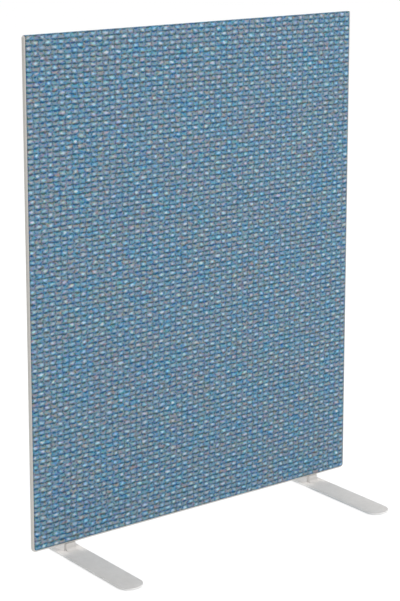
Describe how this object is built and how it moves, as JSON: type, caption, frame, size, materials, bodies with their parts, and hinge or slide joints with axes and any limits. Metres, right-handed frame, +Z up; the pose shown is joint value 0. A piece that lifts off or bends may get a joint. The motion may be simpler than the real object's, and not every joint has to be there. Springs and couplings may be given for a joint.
{
  "type": "acoustic divider screen",
  "caption": "Free-standing acoustic divider screen: a thin upright panel covered in woven blue fabric with silver grey edges, on flat steel feet that reach forward.",
  "frame": {"origin": "on the floor, at the middle of the footprint of both feet", "axes": "+Z up, +X along the panel's width, +Y to the back; the long ends of the feet point to -Y, the front"},
  "size_m": [1.2, 0.44, 1.5295],
  "materials": {
    "frame_wood": "planed softwood, unfinished",
    "dowel_wood": "fluted beech, unfinished",
    "core_board": "pressed polyester fibre board",
    "felt": "needled felt, matt",
    "cover_fabric": "woven, heathered blue, matt",
    "edge_strip": "extruded, silver grey, satin",
    "socket_steel": "zinc plated sheet",
    "screw_steel": "nickel plated",
    "washer_steel": "nickel plated",
    "foot_paint": "satin silver powder coat",
    "pad_rubber": "moulded, matt"
  },
  "bodies": {
    "root": {"left_stile": "frame_wood", "right_stile": "frame_wood", "top_rail": "frame_wood", "middle_rail": "frame_wood", "bottom_rail": "frame_wood", "frame_dowels": "dowel_wood", "upper_core": "core_board", "lower_core": "core_board", "front_felt": "felt", "rear_felt": "felt", "front_fabric": "cover_fabric", "rear_fabric": "cover_fabric", "left_edge_strip": "edge_strip", "right_edge_strip": "edge_strip", "bottom_edge_strip": "edge_strip", "left_socket": "socket_steel", "right_socket": "socket_steel", "socket_screws": "screw_steel", "left_foot": "foot_paint", "right_foot": "foot_paint", "foot_screws": "screw_steel", "cup_washers": "washer_steel", "foot_pads": "pad_rubber"}
  },
  "joints": []
}
